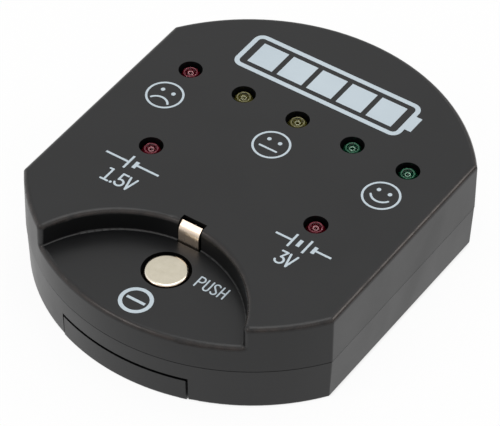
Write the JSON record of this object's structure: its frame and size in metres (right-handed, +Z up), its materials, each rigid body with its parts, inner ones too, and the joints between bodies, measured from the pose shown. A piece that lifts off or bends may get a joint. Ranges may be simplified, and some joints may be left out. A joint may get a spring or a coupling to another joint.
{
  "type": "button cell battery tester",
  "caption": "Flat pocket tester for button cells: sunken cell seat with pressed minus contact and sprung side contact, row of state lights, sliding battery door.",
  "frame": {"origin": "under the middle of the case, on the surface it stands on", "axes": "+X to the user's right, +Y away from the user along the case's longer side, +Z up"},
  "size_m": [0.056, 0.0686, 0.0167],
  "materials": {
    "case": "satin, fine grain",
    "nickel": "nickel plated",
    "steel": "zinc plated",
    "tinned": "tinned",
    "red_lens": "clear tinted",
    "yellow_lens": "clear tinted",
    "green_lens": "clear tinted",
    "board": "solder mask",
    "chip": "moulded",
    "ceramic": "fired ceramic"
  },
  "bodies": {
    "case": {"top_cover": "case", "base_shell": "case", "circuit_board": "board", "led_red_flat": "red_lens", "led_yellow_low": "yellow_lens", "led_yellow_half": "yellow_lens", "led_green_good": "green_lens", "led_green_full": "green_lens", "led_red_left": "red_lens", "led_red_right": "red_lens", "led_leads": "tinned", "button_spring": "steel", "coin_cell": "steel", "cell_plus_clip": "nickel", "cell_minus_spring": "nickel", "controller_chip": "chip", "chip_legs": "tinned", "resistors": "chip", "capacitors": "ceramic", "case_screws": "steel", "board_screws": "steel"},
    "button": {"contact_button": "nickel"},
    "strip": {"side_contact": "nickel"},
    "door": {"battery_door": "case"}
  },
  "joints": [
    {"name": "button_press", "type": "slide", "parent": "case", "child": "button", "axis": [0, 0, -1], "range_m": [0, 0.0006], "stiffness_N_per_m": 2000, "springref_m": -0.0003, "deforming": ["button_spring"]},
    {"name": "strip_flex", "type": "hinge", "parent": "case", "child": "strip", "pos_m": [0, -0.01595, 0.0068], "axis": [-1, 0, 0], "range_deg": [0, 2.5], "stiffness_Nm_per_rad": 0.15, "springref_deg": -1.72},
    {"name": "door_slide", "type": "slide", "parent": "case", "child": "door", "axis": [0, -1, 0], "range_m": [0, 0.03]}
  ]
}
